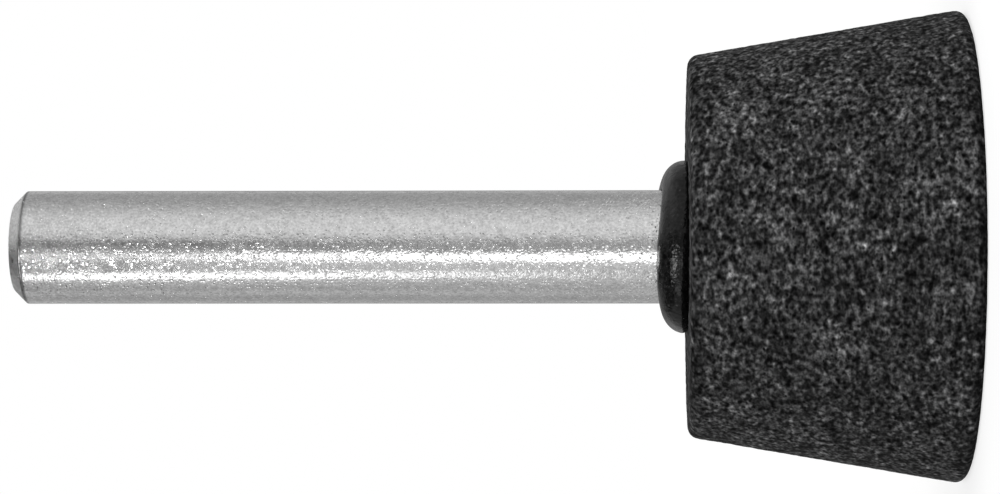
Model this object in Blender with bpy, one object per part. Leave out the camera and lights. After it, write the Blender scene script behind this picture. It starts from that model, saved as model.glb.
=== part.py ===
"""Mounted point: an inverted-cone grinding head cemented onto a round steel spindle.

The tool stands on the large flat face of its head with the spindle pointing up. The origin is the
centre of that face and +Z runs along the spindle towards the end that a collet grips. Every size
is in metres. The head's diameters are those of its sharp corners, before the edges are rounded.
"""

import math

import bmesh
import bpy
from mathutils import Vector

# Grinding head, a truncated cone that is widest at its working face, with a blind bore that
# leaves a web of abrasive under it
HEAD_LENGTH = 0.0145
HEAD_FACE_DIAMETER = 0.0250
HEAD_NECK_DIAMETER = 0.0201
HEAD_FACE_EDGE_RADIUS = 0.0005
HEAD_NECK_EDGE_RADIUS = 0.0006
HEAD_WEB = 0.0043

# Steel spindle, plain outside the head and knurled on the tail inside it
SPINDLE_DIAMETER = 0.0060
SPINDLE_FREE_LENGTH = 0.03575
SPINDLE_END_CHAMFER = 0.00065
SPINDLE_END_EDGE_RADIUS = 0.00012
TAIL_CHAMFER = 0.0005

# Diamond knurl that keys the tail into the cement, with a plain band above and below it
KNURL_TEETH = 24
KNURL_PITCH = 0.0010
KNURL_DEPTH = 0.00025
KNURL_PLAIN_BAND = 0.0005

# Cement that fills the bore round the tail and stands out of it as a rounded bead, which is drawn
# in a little where it meets the head
CEMENT_WALL = 0.00045
CEMENT_FLOOR = 0.0006
BEAD_WIDTH = 0.0016
BEAD_HEIGHT = 0.00155
BEAD_EDGE_RADIUS = 0.00125
BEAD_FOOT_RADIUS = 0.0002

# Hairline clearance between the bonded pieces, so that no two solids share a face
BOND_CLEARANCE = 0.00005

# Finishes as colour, roughness and metallic value
BONDED_GRIT = ((0.036, 0.036, 0.037), 0.85, 0.0)
GROUND_STEEL = ((0.60, 0.60, 0.60), 0.28, 1.0)
BLACK_CEMENT = ((0.014, 0.014, 0.014), 0.32, 0.0)

# Fineness of the turned shapes: two columns of facets for each knurl tooth
SPINDLE_SEGMENTS = 2 * KNURL_TEETH
HEAD_SEGMENTS = 80
ARC_STEPS = 5
SMOOTH_ANGLE = math.radians(30)

# Share of a wall that the rounded corners at its two ends may take together
FILLET_SHARE = 0.98

# Share of a knurl row within which a point counts as lying on it
ROW_TOLERANCE = 0.01

# Radii and heights that follow from the sizes above
HEAD_FACE_RADIUS = HEAD_FACE_DIAMETER / 2
HEAD_NECK_RADIUS = HEAD_NECK_DIAMETER / 2
SPINDLE_RADIUS = SPINDLE_DIAMETER / 2
CEMENT_INNER_RADIUS = SPINDLE_RADIUS + BOND_CLEARANCE
CEMENT_OUTER_RADIUS = CEMENT_INNER_RADIUS + CEMENT_WALL
BORE_RADIUS = CEMENT_OUTER_RADIUS + BOND_CLEARANCE
BEAD_RADIUS = SPINDLE_RADIUS + BEAD_WIDTH
CEMENT_BOTTOM = HEAD_WEB + BOND_CLEARANCE
CUP_FLOOR = CEMENT_BOTTOM + CEMENT_FLOOR
TAIL_BOTTOM = CUP_FLOOR + BOND_CLEARANCE
TAIL_CHAMFER_TOP = TAIL_BOTTOM + TAIL_CHAMFER
KNURL_BOTTOM = TAIL_CHAMFER_TOP + KNURL_PLAIN_BAND
KNURL_TOP = HEAD_LENGTH - KNURL_PLAIN_BAND
KNURL_ROWS = 2 * round((KNURL_TOP - KNURL_BOTTOM) / KNURL_PITCH)
KNURL_ROW_HEIGHT = (KNURL_TOP - KNURL_BOTTOM) / KNURL_ROWS
BEAD_BOTTOM = HEAD_LENGTH + BOND_CLEARANCE
BEAD_TOP = HEAD_LENGTH + BEAD_HEIGHT
SPINDLE_TOP = HEAD_LENGTH + SPINDLE_FREE_LENGTH


def clear_scene():
    """Removes every object that the file starts with."""
    for obj in list(bpy.data.objects):
        bpy.data.objects.remove(obj, do_unlink=True)


def make_material(name, finish):
    """A Principled material from a finish of colour, roughness and metallic value."""
    color, roughness, metallic = finish
    material = bpy.data.materials.new(name)
    material.use_nodes = True
    shader = material.node_tree.nodes["Principled BSDF"]
    shader.inputs["Base Color"].default_value = (*color, 1.0)
    shader.inputs["Roughness"].default_value = roughness
    shader.inputs["Metallic"].default_value = metallic
    return material


def full_reach(corners, index):
    """How far from a corner a rounding of its whole radius starts, or 0 for a plain corner."""
    radius = corners[index][2]
    if radius == 0:
        return 0
    before, corner, after = (Vector(entry[:2]) for entry in corners[index - 1 : index + 2])
    half_angle = (before - corner).angle(after - corner) / 2
    return radius / math.tan(half_angle)


def fillet_reach(corners, index):
    """How far from a corner its rounding starts, shortened by the same share as the rounding at the
    other end of a wall that is too short for both of them."""
    reach = full_reach(corners, index)
    corner = Vector(corners[index][:2])
    shares = [1]
    for neighbour in (index - 1, index + 1):
        wall = (Vector(corners[neighbour][:2]) - corner).length
        needed = reach + full_reach(corners, neighbour)
        shares.append(FILLET_SHARE * wall / needed)
    return reach * min(shares)


def fillet_points(before, corner, after, reach):
    """Points of the arc that rounds a corner and meets both of its walls at this reach from it."""
    towards_before = (before - corner).normalized()
    towards_after = (after - corner).normalized()
    half_angle = towards_before.angle(towards_after) / 2
    centre_distance = reach / math.cos(half_angle)
    centre = corner + (towards_before + towards_after).normalized() * centre_distance
    arc_radius = reach * math.tan(half_angle)
    start = corner + towards_before * reach - centre
    end = corner + towards_after * reach - centre
    directions = [start.slerp(end, step / ARC_STEPS) for step in range(ARC_STEPS + 1)]
    return [centre + arc_radius * direction for direction in directions]


def outline(*corners):
    """A profile of (radius, height) points from corners given as (radius, height, fillet radius)."""
    points = []
    for index, (radius, height, fillet) in enumerate(corners):
        corner = Vector((radius, height))
        if fillet > 0:
            before = Vector(corners[index - 1][:2])
            after = Vector(corners[index + 1][:2])
            points += fillet_points(before, corner, after, fillet_reach(corners, index))
        else:
            points.append(corner)
    return points


def knurl_rows_on(radius):
    """Plain corners for the rows of facets of the knurl, from its bottom to its top."""
    return [(radius, KNURL_BOTTOM + row * KNURL_ROW_HEIGHT, 0) for row in range(KNURL_ROWS + 1)]


def spin_profile(points, segments):
    """A closed mesh turned once round Z from profile points that start and end on the axis."""
    mesh = bmesh.new()
    rim = [mesh.verts.new((point.x, 0, point.y)) for point in points]
    edges = [mesh.edges.new(pair) for pair in zip(rim, rim[1:])]
    bmesh.ops.spin(
        mesh,
        geom=rim + edges,
        cent=(0, 0, 0),
        axis=(0, 0, 1),
        angle=math.tau,
        steps=segments,
        use_merge=True,
    )
    bmesh.ops.remove_doubles(mesh, verts=mesh.verts, dist=1e-6)
    bmesh.ops.recalc_face_normals(mesh, faces=mesh.faces)
    return mesh


def cut_knurl(mesh):
    """Sinks every second point of the knurl's rows, so that two crossed sets of helical grooves
    leave a pyramid between them.

    The grooves cross where a point is pulled in by the knurl's depth, and each facet is split
    between two crossings, so that the split is a groove's floor. The first and last rows stay at
    the full radius, where the grooves run out.
    """
    crossings = []
    for vert in mesh.verts:
        height_in_rows = (vert.co.z - KNURL_BOTTOM) / KNURL_ROW_HEIGHT
        row = round(height_in_rows)
        on_row = abs(height_in_rows - row) < ROW_TOLERANCE
        column = round(math.atan2(vert.co.y, vert.co.x) / math.tau * SPINDLE_SEGMENTS)
        is_crossing = (row + column) % 2 == 0
        if on_row and is_crossing and 0 <= row <= KNURL_ROWS:
            crossings.append(vert)
            if 0 < row < KNURL_ROWS:
                vert.co.xy *= 1 - KNURL_DEPTH / vert.co.xy.length
    bmesh.ops.connect_verts(mesh, verts=crossings)


def add_object(name, mesh, material):
    """Links a finished mesh to the scene as one named, smooth-shaded object."""
    data = bpy.data.meshes.new(name)
    mesh.to_mesh(data)
    mesh.free()
    data.materials.append(material)
    data.shade_smooth()
    data.set_sharp_from_angle(angle=SMOOTH_ANGLE)
    obj = bpy.data.objects.new(name, data)
    bpy.context.scene.collection.objects.link(obj)


def build_head():
    """The grinding head, with the blind bore that takes the cement and the spindle's tail."""
    profile = outline(
        (0, HEAD_WEB, 0),
        (BORE_RADIUS, HEAD_WEB, 0),
        (BORE_RADIUS, HEAD_LENGTH, 0),
        (HEAD_NECK_RADIUS, HEAD_LENGTH, HEAD_NECK_EDGE_RADIUS),
        (HEAD_FACE_RADIUS, 0, HEAD_FACE_EDGE_RADIUS),
        (0, 0, 0),
    )
    mesh = spin_profile(profile, HEAD_SEGMENTS)
    add_object("abrasive_head", mesh, make_material("bonded_grit", BONDED_GRIT))


def build_spindle():
    """The steel spindle: a plain shank with a chamfered end above, a knurled tail below."""
    profile = outline(
        (0, TAIL_BOTTOM, 0),
        (SPINDLE_RADIUS - TAIL_CHAMFER, TAIL_BOTTOM, 0),
        (SPINDLE_RADIUS, TAIL_CHAMFER_TOP, 0),
        *knurl_rows_on(SPINDLE_RADIUS),
        (SPINDLE_RADIUS, SPINDLE_TOP - SPINDLE_END_CHAMFER, SPINDLE_END_EDGE_RADIUS),
        (SPINDLE_RADIUS - SPINDLE_END_CHAMFER, SPINDLE_TOP, SPINDLE_END_EDGE_RADIUS),
        (0, SPINDLE_TOP, 0),
    )
    mesh = spin_profile(profile, SPINDLE_SEGMENTS)
    cut_knurl(mesh)
    add_object("spindle", mesh, make_material("ground_steel", GROUND_STEEL))


def build_cement():
    """The set cement: a cup that fills the bore round the tail, with the bead on its rim."""
    profile = outline(
        (0, CEMENT_BOTTOM, 0),
        (CEMENT_OUTER_RADIUS, CEMENT_BOTTOM, 0),
        (CEMENT_OUTER_RADIUS, BEAD_BOTTOM, 0),
        (BEAD_RADIUS, BEAD_BOTTOM, BEAD_FOOT_RADIUS),
        (BEAD_RADIUS, BEAD_TOP, BEAD_EDGE_RADIUS),
        (CEMENT_INNER_RADIUS, BEAD_TOP, 0),
        *reversed(knurl_rows_on(CEMENT_INNER_RADIUS)),
        (CEMENT_INNER_RADIUS, TAIL_CHAMFER_TOP, 0),
        (CEMENT_INNER_RADIUS - TAIL_CHAMFER, CUP_FLOOR, 0),
        (0, CUP_FLOOR, 0),
    )
    mesh = spin_profile(profile, SPINDLE_SEGMENTS)
    cut_knurl(mesh)
    add_object("cement_collar", mesh, make_material("black_cement", BLACK_CEMENT))


def main():
    """Builds the tool in an empty scene."""
    clear_scene()
    build_head()
    build_spindle()
    build_cement()


if __name__ == "__main__":
    main()
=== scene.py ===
"""Looks of a mounted point: the finish of its grinding head, its steel spindle and its black cement.

The tool stands on the large flat face of its head, at the origin, with the spindle along +Z. Every
size is in metres. The camera lies on its side, so that the spindle runs across the picture.
"""

import logging
import math
from dataclasses import dataclass, fields
from enum import Enum
from functools import partial, reduce
from itertools import product
from typing import ClassVar, Mapping, Sequence

import bpy
import numpy as np
from bpy.types import ID, Material, Mesh, Object, ShaderNode
from bpy.types import NodeSocket as Socket
from bpy.types import NodeTree as Tree
from mathutils import Matrix, Vector


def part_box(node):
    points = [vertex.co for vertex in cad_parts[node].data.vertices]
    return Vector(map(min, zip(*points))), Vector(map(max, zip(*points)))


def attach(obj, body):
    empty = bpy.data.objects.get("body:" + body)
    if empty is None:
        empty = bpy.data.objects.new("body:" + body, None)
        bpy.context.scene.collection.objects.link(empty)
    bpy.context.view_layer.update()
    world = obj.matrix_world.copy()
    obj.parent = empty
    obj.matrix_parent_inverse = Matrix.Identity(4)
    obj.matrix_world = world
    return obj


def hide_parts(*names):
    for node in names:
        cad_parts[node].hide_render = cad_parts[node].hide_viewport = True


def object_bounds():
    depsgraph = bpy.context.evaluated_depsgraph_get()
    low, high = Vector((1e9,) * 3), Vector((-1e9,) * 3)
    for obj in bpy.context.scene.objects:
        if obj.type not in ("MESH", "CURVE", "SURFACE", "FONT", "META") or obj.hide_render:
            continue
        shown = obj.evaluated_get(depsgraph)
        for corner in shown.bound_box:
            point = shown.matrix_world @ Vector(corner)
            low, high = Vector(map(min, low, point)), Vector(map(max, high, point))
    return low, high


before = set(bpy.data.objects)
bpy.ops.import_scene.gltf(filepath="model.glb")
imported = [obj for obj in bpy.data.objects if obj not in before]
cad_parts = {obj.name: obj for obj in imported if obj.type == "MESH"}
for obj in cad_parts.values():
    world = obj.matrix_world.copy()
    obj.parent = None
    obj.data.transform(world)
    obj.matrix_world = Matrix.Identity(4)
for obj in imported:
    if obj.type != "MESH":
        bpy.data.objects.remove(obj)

CAD_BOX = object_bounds()
MM = 0.001
DEGREE = math.pi / 180
SHARP_ANGLE = 50 * DEGREE
FEWEST_ARC_STEPS = 3
WHITE = (1, 1, 1, 1)
SEEING_RAYS = ("Camera", "Glossy", "Transmission")

log = logging.getLogger("mounted_point")

Field = np.ndarray


class Slot(Enum):
    """The record's material slots."""

    GRIT = "bonded_grit"
    STEEL = "ground_steel"
    CEMENT = "black_cement"


class Node(Enum):
    """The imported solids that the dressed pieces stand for."""

    HEAD = "abrasive_head"
    SPINDLE = "spindle"
    CEMENT = "cement_collar"


# Shapes


@dataclass(frozen=True)
class Corner:
    """A corner of a turned profile.

    Attributes:
        radius: distance from the axis.
        height: height above the floor.
        rounding: radius of the arc that rounds the corner, or 0.
        step: spacing of the rows of points on the wall that follows, or 0 for the piece's own.
    """

    radius: float
    height: float
    rounding: float = 0.0
    step: float = 0.0


def rounded_corner(before: Field, corner: Field, after: Field, rounding: float, step: float) -> Field:
    """Rounds one corner of a profile with an arc.

    The arc touches both walls. Its points are those of the circle about the centre, at equal turns
    from the first touching point to the last: each is the blend of the two end directions by the
    sines of the turns that are left and done.

    Args:
        before: the corner before, as radius and height.
        corner: the corner to round.
        after: the corner after.
        rounding: the arc's radius, or 0 for a plain corner.
        step: the spacing of the points on the arc.

    Returns:
        The points, one row each.
    """
    if rounding == 0.0:
        return corner[None]
    arm_in = (before - corner) / np.linalg.norm(before - corner)
    arm_out = (after - corner) / np.linalg.norm(after - corner)
    half_angle = math.acos(float(np.clip(arm_in @ arm_out, -1, 1))) / 2
    middle = (arm_in + arm_out) / np.linalg.norm(arm_in + arm_out)
    centre = corner + middle * rounding / math.sin(half_angle)
    reach = rounding / math.tan(half_angle)
    first = corner + arm_in * reach - centre
    last = corner + arm_out * reach - centre
    sweep = math.pi - 2 * half_angle
    steps = max(FEWEST_ARC_STEPS, math.ceil(sweep * rounding / step))
    turn = np.linspace(0, sweep, steps + 1)[:, None]
    return centre + (np.sin(sweep - turn) * first + np.sin(turn) * last) / math.sin(sweep)


def turned_profile(corners: Sequence[Corner], arc_step: float, wall_step: float) -> Field:
    """A profile of radii and heights through rounded corners, with rows of points on each wall.

    Args:
        corners: the corners from one pole to the other, up the outside.
        arc_step: the spacing of the points on the arcs.
        wall_step: their spacing on the walls of corners that have none of their own.

    Returns:
        An array of (radius, height) rows.
    """
    spots = np.array([(corner.radius, corner.height) for corner in corners])
    ends = [spots[:1]]
    for index in range(1, len(corners) - 1):
        around = spots[index - 1 : index + 2]
        ends.append(rounded_corner(*around, corners[index].rounding, arc_step))
    ends.append(spots[-1:])
    parts = []
    for index, arc in enumerate(ends[:-1]):
        start, stop = arc[-1], ends[index + 1][0]
        rows = max(1, math.ceil(np.linalg.norm(stop - start) / (corners[index].step or wall_step)))
        share = np.arange(1, rows)[:, None] / rows
        parts += [arc, start + share * (stop - start)]
    return np.concatenate([*parts, ends[-1]])


def profile_normals(profile: Field) -> Field:
    """Directions square to a profile, on its right hand, which is outwards where it runs upwards."""
    along = np.gradient(profile, axis=0)
    return along[:, ::-1] * (1, -1) / np.linalg.norm(along, axis=1, keepdims=True)


def turned_grid(radius: Field, height: Field, columns: int) -> Field:
    """Points of a turned surface: a radius and a height for each row and column, carried round Z.

    A point is the radius times the cosine and the sine of the turn, and the height, where the turn
    is the column's share of a full turn.

    Args:
        radius: radii, by row and column or by row alone.
        height: heights in the same layout.
        columns: points in each ring.

    Returns:
        The points by row, column and axis.
    """
    turn = ring_turns(columns)
    radius, height = np.broadcast_arrays(radius, height)
    return np.stack((radius * np.cos(turn), radius * np.sin(turn), height + 0 * turn), axis=-1)


def ring_turns(columns: int) -> Field:
    """The angle round Z of each column of points."""
    return np.arange(columns) * math.tau / columns


def closed_turned_mesh(name: str, grid: Field, marks: Mapping[str, Field]) -> Mesh:
    """A closed mesh from a grid of rings whose first and last ring lie on the axis.

    The first and last rings become one pole point each. Between two rings, each square of the grid
    is split into two triangles that wind outwards.

    Args:
        name: the mesh's name.
        grid: the points by row, column and axis, from the lower pole up the outside.
        marks: numbers for each point, by row and column, kept as attributes of these names.

    Returns:
        The mesh, with smooth faces and sharp corners.
    """
    rows, columns = grid.shape[:2]
    rings = grid[1:-1].reshape(-1, 3)
    points = np.concatenate((grid[0, :1], rings, grid[-1, :1]))
    here = np.arange(columns)
    beside = (here + 1) % columns
    low = np.arange(rows - 3)[:, None] * columns + 1
    high = low + columns
    last_ring = (rows - 3) * columns + 1
    triangles = (
        (0, beside + 1, here + 1),
        (low + here, low + beside, high + beside),
        (low + here, high + beside, high + here),
        (len(points) - 1, last_ring + here, last_ring + beside),
    )
    faces = [np.stack(np.broadcast_arrays(*corners), axis=-1).reshape(-1, 3) for corners in triangles]
    mesh = bpy.data.meshes.new(name)
    mesh.from_pydata(points, [], np.concatenate(faces))
    for mark, values in marks.items():
        layer = mesh.attributes.new(mark, "FLOAT", "POINT")
        inner = np.broadcast_to(values, (rows, columns))
        flat = np.concatenate((inner[0, :1], inner[1:-1].ravel(), inner[-1, :1]))
        layer.data.foreach_set("value", flat.astype(np.float32))
    mesh.shade_smooth()
    mesh.set_sharp_from_angle(angle=SHARP_ANGLE)
    return mesh


def add_object(data: ID) -> Object:
    """Adds an object to the scene.

    Args:
        data: its mesh, lamp or camera, which gives it its name too.

    Returns:
        The object.
    """
    added = bpy.data.objects.new(data.name, data)
    bpy.context.scene.collection.objects.link(added)
    return added


# Fields over points in space


def smooth_step(value: Field) -> Field:
    """Rises smoothly from 0 to 1 while the value goes from 0 to 1."""
    value = np.clip(value, 0, 1)
    return value * value * (3 - 2 * value)


# The hash's factors, and its stirs as pairs of a shift and a factor
AXIS_FACTORS = np.array((374761393, 668265263, 3266489917), dtype=np.uint32)
SEED_FACTOR = 374761
SEED_START = 97
STIRS = ((13, 1274126177), (15, 2246822519), (16, 1))


def hashed(cells: Field, seed: int) -> Field:
    """A number from 0 to 1 for each whole-numbered cell.

    The cell's three numbers are multiplied by large odd numbers and added with the seed. Each stir
    then mixes in the sum's own upper bits and multiplies by one more factor, all within 32 bits.

    Args:
        cells: whole numbers, with the three axes last.
        seed: tells one field from another.

    Returns:
        One number for each cell.
    """
    whole = cells.astype(np.int64).astype(np.uint32)
    mixed = (whole * AXIS_FACTORS).sum(axis=-1, dtype=np.uint32)
    mixed = mixed + np.uint32(seed * SEED_FACTOR + SEED_START)
    for shift, factor in STIRS:
        mixed = (mixed ^ (mixed >> np.uint32(shift))) * np.uint32(factor)
    return mixed / float(2**32)


def waviness(points: Field, size: float, seed: int) -> Field:
    """Smooth swells from -1 to 1: random numbers on a cubic lattice, blended between its corners.

    Args:
        points: places, with the three axes last.
        size: the lattice's spacing.
        seed: tells one field from another.

    Returns:
        One number for each point.
    """
    scaled = points / size
    cell = np.floor(scaled)
    part = smooth_step(scaled - cell)
    total = np.zeros(points.shape[:-1])
    for corner in product((0, 1), repeat=3):
        weight = np.prod(np.where(corner, part, 1 - part), axis=-1)
        total += weight * hashed(cell + corner, seed)
    return total * 2 - 1


def grains(points: Field, size: float, seed: int) -> tuple[Field, Field]:
    """Packed grains: one centre at random in each cell of a cubic lattice.

    Args:
        points: places, with the three axes last.
        size: the lattice's spacing, about a grain's width.
        seed: tells one packing from another.

    Returns:
        The distance to the nearest centre in grain widths, and a random number of that grain.
    """
    scaled = points / size
    cell = np.floor(scaled)
    nearest = np.full(points.shape[:-1], np.inf)
    tone = np.zeros(points.shape[:-1])
    for offset in product((-1, 0, 1), repeat=3):
        beside = cell + offset
        centre = beside + np.stack([hashed(beside, seed + axis) for axis in range(3)], axis=-1)
        distance = np.linalg.norm(scaled - centre, axis=-1)
        closer = distance < nearest
        tone = np.where(closer, hashed(beside, seed + 3), tone)
        nearest = np.where(closer, distance, nearest)
    return nearest, tone


@dataclass(frozen=True)
class Knurl:
    """The diamond knurl that keys the tail into the cement, short of the tail's end and the neck."""

    tail: float
    neck: float
    tail_margin: float = 1.0 * MM
    neck_margin: float = 0.5 * MM
    teeth: int = 24
    pitch: float = 1.0 * MM
    depth: float = 0.25 * MM

    @property
    def bottom(self) -> float:
        """Height at which the knurl starts."""
        return self.tail + self.tail_margin

    @property
    def top(self) -> float:
        """Height at which the knurl ends."""
        return self.neck - self.neck_margin

    def sink(self, height: Field, turn: Field) -> Field:
        """How far the knurl sinks a round surface at each row and column.

        Two sets of helical grooves run over the surface in opposite senses. Counted in rows and in
        columns of crossings, one set lies where half the sum of the two counts is whole, and the
        other where half their difference is. The surface rises evenly from each groove, so the sink
        is the depth less the smaller of the two rises, and it runs out over the first and the last
        row.

        Args:
            height: heights of the rows.
            turn: angles of the columns.

        Returns:
            The sink in metres, by row and column.
        """
        rows = 2 * round((self.top - self.bottom) / self.pitch)
        row_height = (self.top - self.bottom) / rows
        row = ((height - self.bottom) / row_height)[:, None]
        column = (turn / math.tau * 2 * self.teeth)[None]
        rises = [1 - np.abs(2 * ((row + sense * column) / 2 % 1) - 1) for sense in (1, -1)]
        run_out = np.clip(np.minimum(row, rows - row), 0, 1)
        return self.depth * run_out * (1 - np.minimum(*rises))


# Shader graphs


def fill(node: ShaderNode, inputs: Mapping[str | int, object]) -> None:
    """Sets the inputs of a node.

    Args:
        node: the node.
        inputs: its inputs' values, or the sockets that feed them, by name or number.
    """
    for name, value in inputs.items():
        if isinstance(value, Socket):
            node.id_data.links.new(value, node.inputs[name])
        else:
            node.inputs[name].default_value = value


def add_node(tree: Tree, kind: str, inputs: Mapping[str | int, object], **settings: object) -> ShaderNode:
    """Adds a node, sets its own values and fills its inputs.

    Args:
        tree: the node tree.
        kind: the node's type, without the common first part of its name.
        inputs: its inputs' values, or the sockets that feed them, by name or number.
        **settings: the node's own values.

    Returns:
        The node.
    """
    node = tree.nodes.new("ShaderNode" + kind)
    for name, value in settings.items():
        setattr(node, name, value)
    fill(node, inputs)
    return node


def calc(tree: Tree, operation: str, *values: object) -> Socket:
    """The result of one Math node on values or sockets."""
    return add_node(tree, "Math", dict(enumerate(values)), operation=operation).outputs[0]


def product_of(tree: Tree, *values: object) -> Socket:
    """The product of several values or sockets."""
    return reduce(partial(calc, tree, "MULTIPLY"), values)


def gained(tree: Tree, mask: Socket, gain: float) -> Socket:
    """One plus the gain times a mask."""
    return calc(tree, "MULTIPLY_ADD", mask, gain, 1.0)


def scaled(tree: Tree, vector: object, factor: Socket) -> Socket:
    """A vector or a colour times a number."""
    return add_node(tree, "VectorMath", {0: vector, "Scale": factor}, operation="SCALE").outputs[0]


def counted(tree: Tree, place: Socket, size: Socket) -> Socket:
    """A place counted in a size."""
    return scaled(tree, place, calc(tree, "DIVIDE", 1.0, size))


def noise(tree: Tree, place: Socket, size: Socket) -> Socket:
    """A soft noise of the given size, which lies about 0.5."""
    inputs = {"Vector": counted(tree, place, size), "Scale": 1.0, "Detail": 1.0}
    return add_node(tree, "TexNoise", inputs).outputs[0]


def object_place(tree: Tree) -> Socket:
    """The Object coordinates of the shaded point."""
    return add_node(tree, "TexCoord", {}).outputs["Object"]


def mark(tree: Tree, name: str) -> Socket:
    """The value of one of the mesh's own attributes."""
    return add_node(tree, "Attribute", {}, attribute_name=name).outputs["Fac"]


def darkened(tree: Tree, name: str, strength: float) -> Socket:
    """A shade that falls as a mark of the mesh grows: exp(-strength x mark)."""
    return calc(tree, "EXPONENT", calc(tree, "MULTIPLY", mark(tree, name), -strength))


def bumped(tree: Tree, height: Socket, depth: float, **over: Socket) -> Socket:
    """The normal of a surface with a relief, which is laid over another Normal if one is given."""
    return add_node(tree, "Bump", {"Height": height, "Distance": depth, **over}).outputs[0]


def new_material(name: str) -> tuple[Material, Tree, ShaderNode]:
    """Makes a material.

    Args:
        name: the material's name.

    Returns:
        The material, its node tree and its Principled shader.
    """
    material = bpy.data.materials.new(name)
    material.use_nodes = True
    tree = material.node_tree
    return material, tree, tree.nodes["Principled BSDF"]


@dataclass(frozen=True)
class Effect:
    """An effect that several finishes share, as a shader node group with this title and output.

    The group is built once. Its inputs are the place and the effect's own numbers.
    """

    title: ClassVar[str]
    output: ClassVar[str]

    @classmethod
    def wire(cls, tree: Tree, *sources: Socket) -> Socket:
        """Wires the effect from the group's inputs and returns what it puts out."""
        raise NotImplementedError

    @classmethod
    def group(cls) -> Tree:
        """The effect's group, which is built when it is first asked for.

        Returns:
            The group's tree.
        """
        found = bpy.data.node_groups.get(cls.title)
        if found is not None:
            return found
        tree = bpy.data.node_groups.new(cls.title, "ShaderNodeTree")
        tree.interface.new_socket("Place", in_out="INPUT", socket_type="NodeSocketVector")
        for field in fields(cls):
            name = field.name.replace("_", " ").title()
            tree.interface.new_socket(name, in_out="INPUT", socket_type="NodeSocketFloat")
        tree.interface.new_socket(cls.output, in_out="OUTPUT", socket_type="NodeSocketFloat")
        sources = tree.nodes.new("NodeGroupInput").outputs[: len(fields(cls)) + 1]
        result = tree.nodes.new("NodeGroupOutput").inputs[0]
        tree.links.new(cls.wire(tree, *sources), result)
        return tree

    def at(self, tree: Tree, place: Socket) -> Socket:
        """Places the group in a material, with the effect's own numbers, and returns its output."""
        inputs = dict(enumerate((place, *vars(self).values())))
        return add_node(tree, "Group", inputs, node_tree=self.group()).outputs[0]


@dataclass(frozen=True)
class Mottle(Effect):
    """Uneven shade: one plus the contrast times a noise, raised to the display's power.

    The noise has the given size and a spread of about 1, so the contrast is the spread of the
    shade as it is displayed, with as much above the middle as below it.
    """

    title = "mottle"
    output = "Shade"
    spread: ClassVar[float] = 0.10
    display_power: ClassVar[float] = 2.2

    size: float
    contrast: float

    @classmethod
    def wire(cls, tree: Tree, place: Socket, size: Socket, contrast: Socket) -> Socket:
        """Centres a noise, widens it to the contrast and raises it.

        Args:
            tree: the group's tree.
            place: the place on the surface.
            size: the noise's size.
            contrast: the spread of the shade.

        Returns:
            The shade.
        """
        centred = calc(tree, "SUBTRACT", noise(tree, place, size), 0.5)
        unit = calc(tree, "DIVIDE", centred, cls.spread)
        displayed = calc(tree, "MULTIPLY_ADD", unit, contrast, 1.0)
        return calc(tree, "POWER", calc(tree, "MAXIMUM", displayed, 0.0), cls.display_power)


@dataclass(frozen=True)
class FineRelief(Effect):
    """Small dents and swells: a coarse and a fine noise, blended by the fine one's share."""

    title = "fine_relief"
    output = "Height"

    coarse_size: float
    fine_size: float
    fine_share: float

    @classmethod
    def wire(cls, tree: Tree, place: Socket, coarse: Socket, fine: Socket, share: Socket) -> Socket:
        """Reads noises of both sizes and blends them by the share."""
        layers = {"A": noise(tree, place, coarse), "B": noise(tree, place, fine)}
        return add_node(tree, "Mix", {"Factor": share, **layers}).outputs[0]


@dataclass(frozen=True)
class Spots(Effect):
    """Scattered round spots: a mask from 0 between them up to 1 at the middle of the strongest."""

    title = "spots"
    output = "Mask"
    core: ClassVar[float] = 0.3

    spacing: float
    share: float
    reach: float

    @classmethod
    def wire(cls, tree: Tree, place: Socket, spacing: Socket, share: Socket, reach: Socket) -> Socket:
        """Picks a share of a pattern's cells and fades each from its core out to the reach.

        Args:
            tree: the group's tree.
            place: the place on the surface.
            spacing: the size of the pattern's cells.
            share: the share of the cells that have a spot.
            reach: how far a spot reaches, in cells.

        Returns:
            The mask.
        """
        pattern = {"Vector": counted(tree, place, spacing), "Scale": 1.0}
        cells = add_node(tree, "TexVoronoi", pattern).outputs
        chance = add_node(tree, "SeparateColor", {0: cells["Color"]}).outputs[0]
        least = calc(tree, "SUBTRACT", 1.0, share)
        chosen = add_node(tree, "MapRange", {"Value": chance, "From Min": least, "From Max": 1.0})
        limits = {"From Min": reach, "From Max": calc(tree, "MULTIPLY", reach, cls.core)}
        fade = {"Value": cells["Distance"], **limits}
        spot = add_node(tree, "MapRange", fade, interpolation_type="SMOOTHSTEP")
        return product_of(tree, chosen.outputs[0], spot.outputs[0])


# Finishes


@dataclass(frozen=True)
class Finish:
    """The finish of a piece, which fills one of the record's slots."""

    slot: ClassVar[Slot]

    def material(self) -> Material:
        """Builds the finish as a material."""
        raise NotImplementedError


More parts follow.
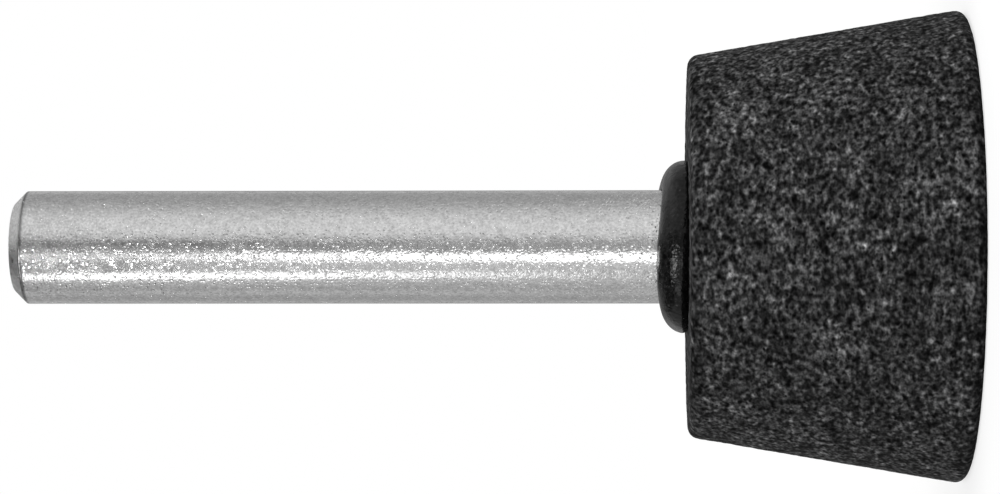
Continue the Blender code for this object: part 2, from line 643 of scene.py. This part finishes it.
@dataclass(frozen=True)
class GritFinish(Finish):
    """Bonded abrasive: dark grit with lighter grains and painted glints, pores in painted shade, pressed
    flat along the axis.
    """

    slot = Slot.GRIT

    tint: tuple[float, float, float] = (0.052, 0.052, 0.0525)
    flatness: float = 1.25
    grains: Mottle = Mottle(size=0.42 * MM, contrast=0.24)
    specks: Mottle = Mottle(size=0.25 * MM, contrast=0.25)
    clouds: Mottle = Mottle(size=2.2 * MM, contrast=0.08)
    bright: Spots = Spots(spacing=0.75 * MM, share=0.22, reach=0.42)
    grain_and_glint_gain: float = 1.9
    pores: Spots = Spots(spacing=0.30 * MM, share=0.6, reach=0.45)
    pore_shade_gain: float = -0.95
    recess_and_neck_shade: float = 1.25
    relief: FineRelief = FineRelief(coarse_size=0.42 * MM, fine_size=0.25 * MM, fine_share=0.4)
    relief_depth: float = 0.05 * MM
    roughness: float = 0.82
    shine: float = 0.03

    def material(self) -> Material:
        """Builds the finish.

        Returns:
            The material.
        """
        material, tree, shader = new_material(self.slot.value)
        flattened = {0: object_place(tree), 1: (1, 1, self.flatness)}
        place = add_node(tree, "VectorMath", flattened, operation="MULTIPLY").outputs[0]
        shade = product_of(
            tree,
            # the grains and specks read the relief's own noises, so the colour is darker in its hollows:
            # random tone and painted shade
            *(mottle.at(tree, place) for mottle in (self.grains, self.specks, self.clouds)),
            # painted shade in the relief's deep places and on the neck's rounded edge
            darkened(tree, "sink", self.recess_and_neck_shade),
            # lighter grains, with painted glints of their facets
            gained(tree, self.bright.at(tree, place), self.grain_and_glint_gain),
            # painted shade of pores: dark round spots in the colour
            gained(tree, self.pores.at(tree, place), self.pore_shade_gain),
        )
        normal = bumped(tree, self.relief.at(tree, place), self.relief_depth)
        fill(shader, {"Base Color": scaled(tree, self.tint, shade), "Normal": normal})
        fill(shader, {"Roughness": self.roughness, "Specular IOR Level": self.shine})
        return material


@dataclass(frozen=True)
class SteelFinish(Finish):
    """Ground and tumbled steel: bright, with shallow dents, faint patches and turned ends.

    Near the free end, where the collet slides on, the dents are worn down to a share of their depth.
    """

    slot = Slot.STEEL

    tint: tuple[float, float, float] = (0.62, 0.62, 0.62)
    shades: Mottle = Mottle(size=0.35 * MM, contrast=0.02)
    # painted shade in the fine dents' hollows, from the same noise as the dents
    pits: Mottle = Mottle(size=0.12 * MM, contrast=0.035)
    patches: Mottle = Mottle(size=3.0 * MM, contrast=0.13)
    dents: FineRelief = FineRelief(coarse_size=0.38 * MM, fine_size=0.12 * MM, fine_share=0.38)
    dent_depth: float = 0.028 * MM
    worn_share: float = 0.55
    worn_from: float = 3.3 * MM
    worn_to: float = 10.0 * MM
    spots: Spots = Spots(spacing=0.17 * MM, share=0.70, reach=0.55)
    spot_depth: float = 0.54
    spot_shade: float = 0.10
    blur: Mottle = Mottle(size=0.38 * MM, contrast=0.06)
    roughness: float = 0.17
    turning_pitch: float = 0.035 * MM
    turning_depth: float = 0.006 * MM
    line_shade: float = 1.1

    def material(self) -> Material:
        """Builds the finish.

        Returns:
            The material.
        """
        material, tree, shader = new_material(self.slot.value)
        place = object_place(tree)
        spots = self.spots.at(tree, place)
        shade = product_of(
            tree,
            self.shades.at(tree, place),
            # painted shade: darker where the fine dents sink
            self.pits.at(tree, place),
            darkened(tree, "edge_line", self.line_shade),
            # painted shade in the pits that the spots press into the relief
            gained(tree, spots, -self.spot_shade),
        )
        turned = mark(tree, "turned")
        blur = product_of(tree, self.blur.at(tree, place), calc(tree, "ADD", 1.0, turned), self.roughness)
        normal = self.normal(tree, place, spots, turned)
        fill(shader, {"Base Color": scaled(tree, self.tint, shade), "Roughness": blur})
        fill(shader, {"Metallic": 1.0, "Normal": normal})
        return material

    def normal(self, tree: Tree, place: Socket, spots: Socket, turned: Socket) -> Socket:
        """The normal of the dented shank and the turned ends.

        The dents are their own relief times the patches, less the spots, and all of that is worn
        down near the free end. The turning marks are a noise of the distance along the section.

        Args:
            tree: the material's tree.
            place: the place on the surface.
            spots: the mask of the spots.
            turned: 1 where the turning marks are left.

        Returns:
            The normal.
        """
        along = mark(tree, "along")
        limits = {"From Min": self.worn_from, "From Max": self.worn_to, "To Min": self.worn_share}
        worn = add_node(tree, "MapRange", {"Value": along, **limits, "To Max": 1.0}).outputs[0]
        dents = product_of(tree, self.dents.at(tree, place), self.patches.at(tree, place))
        dents = product_of(tree, calc(tree, "MULTIPLY_ADD", spots, -self.spot_depth, dents), worn)
        turns = calc(tree, "DIVIDE", along, self.turning_pitch)
        rings = add_node(tree, "TexNoise", {"W": turns, "Scale": 1.0}, noise_dimensions="1D")
        rings = product_of(tree, rings.outputs[0], turned)
        return bumped(tree, rings, self.turning_depth, Normal=bumped(tree, dents, self.dent_depth))


@dataclass(frozen=True)
class CementFinish(Finish):
    """Set cement: black and glossy, slightly lumpy, with a little dust."""

    slot = Slot.CEMENT

    tint: tuple[float, float, float] = (0.003, 0.003, 0.003)
    dust: Mottle = Mottle(size=0.20 * MM, contrast=0.25)
    specks: Spots = Spots(spacing=0.5 * MM, share=0.15, reach=0.22)
    speck_gain: float = 14.0
    lumps: FineRelief = FineRelief(coarse_size=0.55 * MM, fine_size=0.16 * MM, fine_share=0.55)
    lump_depth: float = 0.050 * MM
    blur: Mottle = Mottle(size=0.55 * MM, contrast=0.08)
    roughness: float = 0.20
    shine: float = 0.20

    def material(self) -> Material:
        """Builds the finish.

        Returns:
            The material.
        """
        material, tree, shader = new_material(self.slot.value)
        place = object_place(tree)
        specks = gained(tree, self.specks.at(tree, place), self.speck_gain)
        shade = product_of(tree, self.dust.at(tree, place), specks)
        blur = product_of(tree, self.blur.at(tree, place), self.roughness)
        normal = bumped(tree, self.lumps.at(tree, place), self.lump_depth)
        fill(shader, {"Base Color": scaled(tree, self.tint, shade), "Roughness": blur})
        fill(shader, {"Specular IOR Level": self.shine, "Normal": normal})
        return material


# The object's three pieces


@dataclass(frozen=True)
class TurnedPiece:
    """A piece of the object, turned about its axis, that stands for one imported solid."""

    node: ClassVar[Node]

    def mesh(self) -> Mesh:
        """Builds the piece's surface."""
        raise NotImplementedError

    def dress(self, finish: Finish) -> Object:
        """Builds the piece and puts it, in its finish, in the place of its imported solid.

        Args:
            finish: the piece's finish.

        Returns:
            The piece.
        """
        mesh = self.mesh()
        mesh.materials.append(finish.material())
        piece = add_object(mesh)
        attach(piece, "root")
        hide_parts(self.node.value)
        log.info("%s: %d triangles", piece.name, len(mesh.polygons))
        return piece


@dataclass(frozen=True)
class GrindingHead(TurnedPiece):
    """The head: an inverted cone of bonded grit with a blind bore."""

    node = Node.HEAD

    length: float
    reach: float
    face_radius: float = 12.5 * MM
    neck_radius: float = 10.05 * MM
    face_rounding: float = 0.5 * MM
    neck_rounding: float = 0.6 * MM
    bore_radius: float = 3.55 * MM
    web: float = 4.3 * MM
    columns: int = 540
    flank_step: float = 0.135 * MM
    neck_step: float = 0.24 * MM
    face_step: float = 0.55 * MM
    swell_seed: int = 5
    swell_size: float = 0.95 * MM
    swell_depth: float = 0.010 * MM
    flatness: float = 1.25
    grain_seed: int = 11
    grain_size: float = 0.45 * MM
    grain_depth: float = 0.05 * MM
    level_share: float = 0.25
    pore_share: float = 0.14
    pore_depth: float = 0.06 * MM
    rim_height: float = 0.6 * MM
    dressed: float = 0.4
    # painted shade on the neck's rounded edge and neck face, and the height over which it fades
    neck_shade: float = 0.8
    neck_shade_height: float = 0.75 * MM

    def profile(self) -> Field:
        """The head's section, from the middle of its large face to the floor of its bore.

        Returns:
            Rows of radius and height.
        """
        corners = (
            Corner(0, 0, step=self.face_step),
            Corner(self.face_radius, 0, self.face_rounding, self.flank_step),
            Corner(self.neck_radius, self.length, self.neck_rounding, self.neck_step),
            Corner(self.bore_radius, self.length),
            Corner(self.bore_radius, self.web),
            Corner(0, self.web),
        )
        return turned_profile(corners, self.flank_step, self.length)

    def mesh(self) -> Mesh:
        """The grainy surface.

        Each point of the turned section is sunk along the section's normal. The sink is a swell,
        plus each grain's own level, plus the square of the distance from the grain's centre, plus
        a pit where a grain is missing. Above the rim the mean sink is taken away again, so that
        the plain form lies midway in the relief. The large face and its rim are dressed, which
        leaves a share of the sink, and no point is farther out than the reach. The bore is plain.
        The mark is painted shade: the sink's share of the deepest, with more towards the neck's edge.

        Returns:
            The mesh.
        """
        profile = self.profile()
        radius, height = profile[:, :1], profile[:, 1:]
        plain = turned_grid(radius, height, self.columns)
        distance, tone = grains(plain * (1, 1, self.flatness), self.grain_size, self.grain_seed)
        distance = np.clip(distance, 0, 1)
        swell = self.swell_depth * (1 + waviness(plain, self.swell_size, self.swell_seed)) / 2
        grain = self.grain_depth * (self.level_share * tone + (1 - self.level_share) * distance**2)
        pit = np.clip((self.pore_share - tone) / self.pore_share, 0, 1) * (1 - distance)
        outside = (radius > self.bore_radius) | (height < self.web / 2)
        sink = (swell + grain + self.pore_depth * pit) * outside
        # painted shade towards the neck's edge, added to the mark, where the lamps light the rounding
        # strongly
        neck = self.neck_shade * smooth_step((height - self.length) / self.neck_shade_height + 1)
        depth = sink / (self.grain_depth + self.pore_depth) + neck
        above_rim = smooth_step(height / self.rim_height - 1)
        sink = sink * (self.dressed + (1 - self.dressed) * above_rim) - sink.mean() * above_rim * outside
        normals = profile_normals(profile)
        outer = np.minimum(radius - sink * normals[:, :1], self.reach)
        grid = turned_grid(outer, height - sink * normals[:, 1:], self.columns)
        return closed_turned_mesh("grinding_head", grid, {"sink": depth})


@dataclass(frozen=True)
class Spindle(TurnedPiece):
    """The spindle: a plain shank with a chamfered end above and a knurled tail below."""

    node = Node.SPINDLE

    radius: float
    bottom: float
    top: float
    knurl: Knurl
    end_chamfer: float = 0.65 * MM
    end_rounding: float = 0.12 * MM
    tail_chamfer: float = 0.5 * MM
    columns: int = 288
    shank_step: float = 0.6 * MM
    knurl_step: float = 0.125 * MM
    arc_step: float = 0.03 * MM
    end_step: float = 0.15 * MM
    border_rounding: float = 0.05 * MM
    line_width: float = 0.08 * MM
    line_depth: float = 0.006 * MM
    line_drop: float = 0.045 * MM

    def profile(self) -> Field:
        """The spindle's section, from the middle of its tail to the middle of its free end.

        Returns:
            Rows of radius and height.
        """
        corners = (
            Corner(0, self.bottom),
            Corner(self.radius - self.tail_chamfer, self.bottom),
            Corner(self.radius, self.bottom + self.tail_chamfer),
            Corner(self.radius, self.knurl.bottom, step=self.knurl_step),
            Corner(self.radius, self.knurl.top),
            Corner(self.radius, self.top - 2 * self.end_chamfer, step=self.arc_step),
            Corner(self.radius, self.top - self.end_chamfer, self.border_rounding, self.arc_step),
            Corner(self.radius - self.end_chamfer, self.top, self.end_rounding, self.end_step),
            Corner(0, self.top),
        )
        return turned_profile(corners, self.arc_step, self.shank_step)

    def mesh(self) -> Mesh:
        """The turned surface, with its knurl and a fine groove just below the chamfer.

        The marks say how far along its section each ring lies, counted from the free end's middle,
        which rings were faced or chamfered, and how near each is to the groove, as exp(-(distance /
        the line's width) squared).

        Returns:
            The mesh.
        """
        profile = self.profile()
        radius, height = profile[:, :1], profile[:, 1:]
        steps = np.linalg.norm(np.diff(profile[::-1], axis=0), axis=1)
        along = np.concatenate(((0,), np.cumsum(steps)))[::-1][:, None]
        border = self.top - self.end_chamfer
        from_border = (height - border) / self.line_width
        line = np.exp(-((from_border + self.line_drop / self.line_width) ** 2))
        line = line * (radius > self.radius / 2)
        turned = np.clip(from_border + 0.5, 0, 1)
        sink = self.knurl.sink(profile[:, 1], ring_turns(self.columns)) * (radius == self.radius)
        grid = turned_grid(radius - sink - self.line_depth * line, height, self.columns)
        marks = {"along": along, "turned": turned, "edge_line": line}
        return closed_turned_mesh("steel_spindle", grid, marks)


@dataclass(frozen=True)
class CementCollar(TurnedPiece):
    """The cement: a cup round the spindle's tail, with the bead on the cup's rim.

    Its sides are azimuths, counted round Z from the camera's side towards +X.
    """

    node = Node.CEMENT

    bottom: float
    bead_radius: float
    bead_top: float
    head_length: float
    knurl: Knurl
    inner_radius: float = 3.05 * MM
    outer_radius: float = 3.5 * MM
    cup_floor: float = 0.6 * MM
    tail_chamfer: float = 0.5 * MM
    bead_rounding: float = 1.40 * MM
    foot_rounding: float = 0.08 * MM
    seat: float = 0.02 * MM
    columns: int = 288
    bead_step: float = 0.07 * MM
    seat_step: float = 0.21 * MM
    wall_step: float = 2.0 * MM
    knurl_step: float = 0.125 * MM
    lump_seed: int = 23
    lump_size: float = 1.1 * MM
    lump_height: float = 0.03 * MM
    low_height: float = 1.35 * MM
    rise: float = 0.32 * MM
    high_side: float = -20 * DEGREE
    groove_depth: float = 0.12 * MM
    groove_height: float = 0.40 * MM
    groove_side: float = -50 * DEGREE

    def profile(self) -> Field:
        """The cement's section, from the middle of its underside round the bead to the cup's floor.

        Returns:
            Rows of radius and height.
        """
        floor = self.bottom + self.cup_floor
        corners = (
            Corner(0, self.bottom),
            Corner(self.outer_radius, self.bottom),
            Corner(self.outer_radius, self.head_length + self.seat, step=self.seat_step),
            Corner(self.bead_radius, self.head_length + self.seat, self.foot_rounding, self.bead_step),
            Corner(self.bead_radius, self.bead_top, self.bead_rounding, self.bead_step),
            Corner(self.inner_radius, self.bead_top, step=self.seat_step),
            Corner(self.inner_radius, self.knurl.top, step=self.knurl_step),
            Corner(self.inner_radius, self.knurl.bottom),
            Corner(self.inner_radius, floor + self.tail_chamfer),
            Corner(self.inner_radius - self.tail_chamfer, floor),
            Corner(0, floor),
        )
        return turned_profile(corners, self.bead_step, self.wall_step)

    def mesh(self) -> Mesh:
        """The set cement, with a bead that is slightly lumpy and climbs higher on two of its sides.

        The climb is the squared cosine of the turn from the high side. On the bead, heights above
        the head are stretched so that its top goes from the low height up by the rise. The foot is
        drawn in by the groove's depth times the squared cosine of the turn from the groove's side,
        and not at all on the far half. The radius sinks with a waviness that fades at the spindle.
        The inner wall carries the counterpart of the tail's knurl.

        Returns:
            The mesh.
        """
        profile = self.profile()
        radius, height = profile[:, :1], profile[:, 1:]
        turn = ring_turns(self.columns)
        azimuth = turn + 90 * DEGREE
        climb = np.cos(azimuth - self.high_side) ** 2
        above = np.maximum(height - self.head_length, 0)
        stretch = (self.low_height + self.rise * climb) / (self.bead_top - self.head_length)
        higher = above * (stretch - 1)
        on_bead = smooth_step((radius - self.inner_radius) / (self.bead_radius - self.inner_radius))
        on_bead = on_bead * (above > 0)
        drawn_in = np.maximum(np.cos(azimuth - self.groove_side), 0) ** 2
        groove = self.groove_depth * drawn_in * (1 - smooth_step(above / self.groove_height))
        sink = self.knurl.sink(profile[:, 1], turn) * (radius == self.inner_radius)
        plain = turned_grid(radius, height, self.columns)
        lumps = self.lump_height * (1 - waviness(plain, self.lump_size, self.lump_seed))
        grid = turned_grid(radius - sink - (groove + lumps) * on_bead, height + higher, self.columns)
        return closed_turned_mesh("cement_bead", grid, {})


# The studio


@dataclass(frozen=True)
class PhotoCamera:
    """The camera of the reference view, fitted to the object's outline as a pinhole.

    It looks at a point on the spindle's axis, tilted up a little, and lies on its side: the
    picture's right is the world's down, and the picture's up is the world's +X.
    """

    distance: float = 171.1 * MM
    aim_height: float = 24.436 * MM
    tilt: float = 0.040
    roll: float = -0.001
    focal_length_px: float = 3225.7
    picture_width_px: float = 1000.0
    sensor_width: float = 36.0
    clip_start: float = 0.01

    def make(self) -> Object:
        """Adds the camera and makes it the scene's own.

        Returns:
            The camera.
        """
        data = bpy.data.cameras.new("photo_camera")
        data.sensor_width = self.sensor_width
        data.lens = self.focal_length_px / self.picture_width_px * self.sensor_width
        data.clip_start = self.clip_start
        camera = add_object(data)
        ahead = Vector((0, math.cos(self.tilt), math.sin(self.tilt)))
        right = Vector((0, math.sin(self.tilt), -math.cos(self.tilt)))
        up = Vector((1, 0, 0))
        place = Vector((0, 0, self.aim_height)) - ahead * self.distance
        turn = Matrix((right, up, -ahead)).transposed() @ Matrix.Rotation(self.roll, 3, "Z")
        camera.matrix_world = Matrix.Translation(place) @ turn.to_4x4()
        bpy.context.scene.camera = camera
        return camera


@dataclass(frozen=True)
class Panel:
    """A panel of the tent that the polished steel reflects.

    Azimuths are in degrees round Z from the camera's side towards +X, and run from -180 to 180.

    Attributes:
        start: azimuth at which it starts.
        end: azimuth at which it ends.
        gain: how much brighter it is than the tent, or darker if it is negative.
        fades: degrees over which it comes in and goes out.
        low: height at which it starts.
        high: height at which it ends.
        low_fade: height over which it comes in.
        high_fade: height over which it goes out.
        lean: degrees that it turns by for each metre of height.
    """

    start: float
    end: float
    gain: float
    fades: tuple[float, float] = (4.0, 4.0)
    low: float = -1.0
    high: float = 1.0
    low_fade: float = 0.01
    high_fade: float = 0.01
    lean: float = 0.0

    def glow(self, azimuth: Field, height: Field) -> Field:
        """The panel's added brightness: its gain, faded smoothly at its sides and its ends.

        Args:
            azimuth: azimuths of the tent's points, in degrees.
            height: their heights.

        Returns:
            The added brightness of each point.
        """
        turned = azimuth - self.lean * height
        across = smooth_step((turned - self.start) / self.fades[0])
        across = across * smooth_step((self.end - turned) / self.fades[1])
        upward = smooth_step((height - self.low) / self.low_fade)
        downward = smooth_step((self.high - height) / self.high_fade)
        return self.gain * across * upward * downward


@dataclass(frozen=True)
class Lamp:
    """A square lamp that faces the object's middle and that reflections don't show.

    Its azimuth is in degrees round Z from the camera's side towards +X, its elevation in degrees
    above the floor, and its glow is the brightness of its face.
    """

    name: str
    azimuth: float
    elevation: float
    glow: float
    side: float = 0.04
    distance: float = 0.065

    def make(self) -> Object:
        """Adds the lamp.

        Returns:
            The lamp.
        """
        data = bpy.data.lights.new(self.name, "AREA")
        data.shape = "SQUARE"
        data.size = self.side
        data.energy = self.glow * math.pi * self.side**2
        lamp = add_object(data)
        turn, rise = self.azimuth * DEGREE, self.elevation * DEGREE
        ahead, side = -math.cos(turn) * math.cos(rise), math.sin(turn) * math.cos(rise)
        away = Vector((side, ahead, math.sin(rise)))
        lamp.location = Vector((0, 0, CAD_BOX[1].z / 2)) + away * self.distance
        lamp.rotation_mode = "QUATERNION"
        lamp.rotation_quaternion = away.to_track_quat("Z", "Y")
        lamp.visible_camera = False
        lamp.visible_glossy = False
        return lamp


@dataclass(frozen=True)
class Studio:
    """Soft lamps, a pale floor, a white surround and a round tent that only reflections show."""

    ambient: float = 0.60
    floor_half_width: float = 2.5
    floor_colour: float = 0.16
    floor_glow: float = 0.912
    floor_dip: float = 0.176
    floor_dip_radius: float = 0.073
    tent_radius: float = 0.11
    tent_height: float = 0.30
    tent_base: float = 0.46
    tent_columns: int = 720
    tent_rows: int = 120
    tent_first_rise: float = 0.002
    lamps: tuple[Lamp, ...] = (
        Lamp("key", azimuth=58, elevation=52, glow=9.2),
        Lamp("fill", azimuth=-35, elevation=56, glow=7.4),
        Lamp("back", azimuth=170, elevation=52, glow=5.0),
    )
    panels: tuple[Panel, ...] = (
        # Low down, for the strips of light on the shank
        Panel(start=4, end=118, gain=0.50, fades=(28, 78), high=0.085, high_fade=0.02),
        Panel(start=-1, end=14, gain=-0.23, fades=(3, 3), low=0.03, low_fade=0.03, high=0.075),
        Panel(start=-29.5, end=-13, gain=2.8, high=0.064, high_fade=0.028, lean=50),
        Panel(start=-27, end=-10, gain=0.55, low=0.056, high=0.08),
        Panel(start=-52, end=-24, gain=0.28, fades=(8, 8), high=0.064, high_fade=0.012),
        Panel(start=-61, end=-44, gain=2.0, fades=(5, 4), low=0.008, low_fade=0.045, high=0.078, lean=-130),
        Panel(start=-66, end=-55, gain=2.2, fades=(2, 2), low=0.056, high=0.073),
        Panel(start=-100, end=-58, gain=0.22, fades=(32, 4), high=0.082),
        Panel(start=-118, end=-94, gain=0.18, fades=(8, 8), high=0.082),
        Panel(start=140, end=181, gain=0.14, fades=(10, 0.5), high=0.085),
        Panel(start=-181, end=-140, gain=0.12, fades=(0.5, 10), high=0.082),
        Panel(start=156, end=181, gain=-0.28, fades=(8, 0.5), high=0.085),
        Panel(start=-181, end=-156, gain=-0.28, fades=(0.5, 8), high=0.085),
        # Higher up, for the chamfer and the bead
        Panel(start=10, end=178, gain=0.26, fades=(60, 40), low=0.075, low_fade=0.02),
        Panel(start=10, end=120, gain=0.5, fades=(30, 25), low=0.075, high=0.20, high_fade=0.05),
        Panel(start=-178, end=30, gain=-0.40, fades=(40, 30), low=0.076, low_fade=0.012),
        Panel(start=-160, end=-116, gain=0.34, fades=(8, 12), low=0.100, high=0.21, high_fade=0.03),
        Panel(start=-52, end=-5, gain=22.0, fades=(6, 6), low=0.088, high=0.117),
    )

    @staticmethod
    def seen_directly(tree: Tree) -> Socket:
        """1 for rays of the camera, of reflections and of glass, and 0 for those of diffuse light."""
        path = add_node(tree, "LightPath", {}).outputs
        return reduce(partial(calc, tree, "MAXIMUM"), (path[f"Is {ray} Ray"] for ray in SEEING_RAYS))

    def surround(self) -> None:
        """A world that looks white and lights the object softly."""
        world = bpy.data.worlds.new("surround")
        world.use_nodes = True
        tree = world.node_tree
        levels = {"Value": self.seen_directly(tree), "To Min": self.ambient, "To Max": 1.0}
        strength = add_node(tree, "MapRange", levels).outputs[0]
        fill(tree.nodes["Background"], {"Color": WHITE, "Strength": strength})
        bpy.context.scene.world = world

    def floor(self) -> Object:
        """A pale floor that looks white and keeps the object's shadow.

        It glows less under the lamps, by the dip times exp(-(distance / the dip's radius) squared),
        so that their light and its glow add up to white all over, and to less in the shadow.

        Returns:
            The floor.
        """
        mesh = bpy.data.meshes.new("floor")
        side = self.floor_half_width
        points = [(-side, -side, 0), (side, -side, 0), (side, side, 0), (-side, side, 0)]
        mesh.from_pydata(points, [], [(0, 1, 2, 3)])
        material, tree, shader = new_material("floor_paper")
        length = add_node(tree, "VectorMath", {0: object_place(tree)}, operation="LENGTH")
        share = calc(tree, "DIVIDE", length.outputs["Value"], self.floor_dip_radius)
        lit = calc(tree, "EXPONENT", product_of(tree, share, share, -1.0))
        glow = calc(tree, "MULTIPLY_ADD", lit, -self.floor_dip, self.floor_glow)
        glow = product_of(tree, self.seen_directly(tree), glow)
        fill(shader, {"Base Color": (self.floor_colour,) * 3 + (1,), "Roughness": 1.0})
        fill(shader, {"Specular IOR Level": 0.0, "Emission Color": WHITE, "Emission Strength": glow})
        mesh.materials.append(material)
        return self.stand(mesh)

    def tent(self) -> Object:
        """A tall dome over the object that only reflections see.

        A point is at the tent's radius times the cosine of its rise and at the tent's height times
        the sine of it. Its brightness is an attribute, the tent's own plus that of each panel.

        Returns:
            The tent.
        """
        mesh = bpy.data.meshes.new("tent")
        azimuth, rise = np.meshgrid(
            np.linspace(-180, 180, self.tent_columns + 1),
            np.linspace(self.tent_first_rise, math.pi / 2, self.tent_rows + 1),
        )
        radius, height = self.tent_radius * np.cos(rise), self.tent_height * np.sin(rise)
        side, ahead = np.sin(azimuth * DEGREE), -np.cos(azimuth * DEGREE)
        points = np.stack((radius * side, radius * ahead, height), axis=-1)
        row_length = self.tent_columns + 1
        row_starts = np.arange(self.tent_rows)[:, None] * row_length
        first = (row_starts + np.arange(self.tent_columns)).ravel()
        above = first + row_length
        faces = np.stack((first, first + 1, above + 1, above), axis=1)
        mesh.from_pydata(points.reshape(-1, 3), [], faces)
        glow = self.tent_base + sum(panel.glow(azimuth, height) for panel in self.panels)
        layer = mesh.attributes.new("glow", "FLOAT", "POINT")
        layer.data.foreach_set("value", glow.ravel().astype(np.float32))
        material, tree, shader = new_material("tent_cloth")
        tree.nodes.remove(shader)
        emission = add_node(tree, "Emission", {"Strength": mark(tree, "glow")}).outputs[0]
        fill(tree.nodes["Material Output"], {"Surface": emission})
        material.cycles.emission_sampling = "NONE"
        mesh.materials.append(material)
        tent = self.stand(mesh)
        tent.visible_camera = False
        tent.visible_diffuse = False
        tent.visible_transmission = False
        tent.visible_shadow = False
        return tent

    @staticmethod
    def stand(mesh: Mesh) -> Object:
        """Adds a part of the stage.

        Args:
            mesh: the part's mesh.

        Returns:
            The part.
        """
        part = add_object(mesh)
        return part

    def make(self) -> None:
        """Builds the whole studio."""
        bpy.context.scene.view_settings.view_transform = "Standard"
        self.surround()
        self.floor()
        self.tent()
        for lamp in self.lamps:
            lamp.make()


def main() -> None:
    """Builds the camera, the studio and the three pieces in their packed places."""
    logging.basicConfig(level=logging.INFO, format="%(name)s: %(message)s")
    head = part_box(Node.HEAD.value)[1]
    tail, free_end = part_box(Node.SPINDLE.value)
    cement_low, cement_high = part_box(Node.CEMENT.value)
    knurl = Knurl(tail=tail.z, neck=head.z)
    PhotoCamera().make()
    Studio().make()
    GrindingHead(length=head.z, reach=head.x).dress(GritFinish())
    Spindle(radius=free_end.x, bottom=tail.z, top=free_end.z, knurl=knurl).dress(SteelFinish())
    CementCollar(
        bottom=cement_low.z,
        bead_radius=cement_high.x,
        bead_top=cement_high.z,
        head_length=head.z,
        knurl=knurl,
    ).dress(CementFinish())


if __name__ == "__main__":
    main()
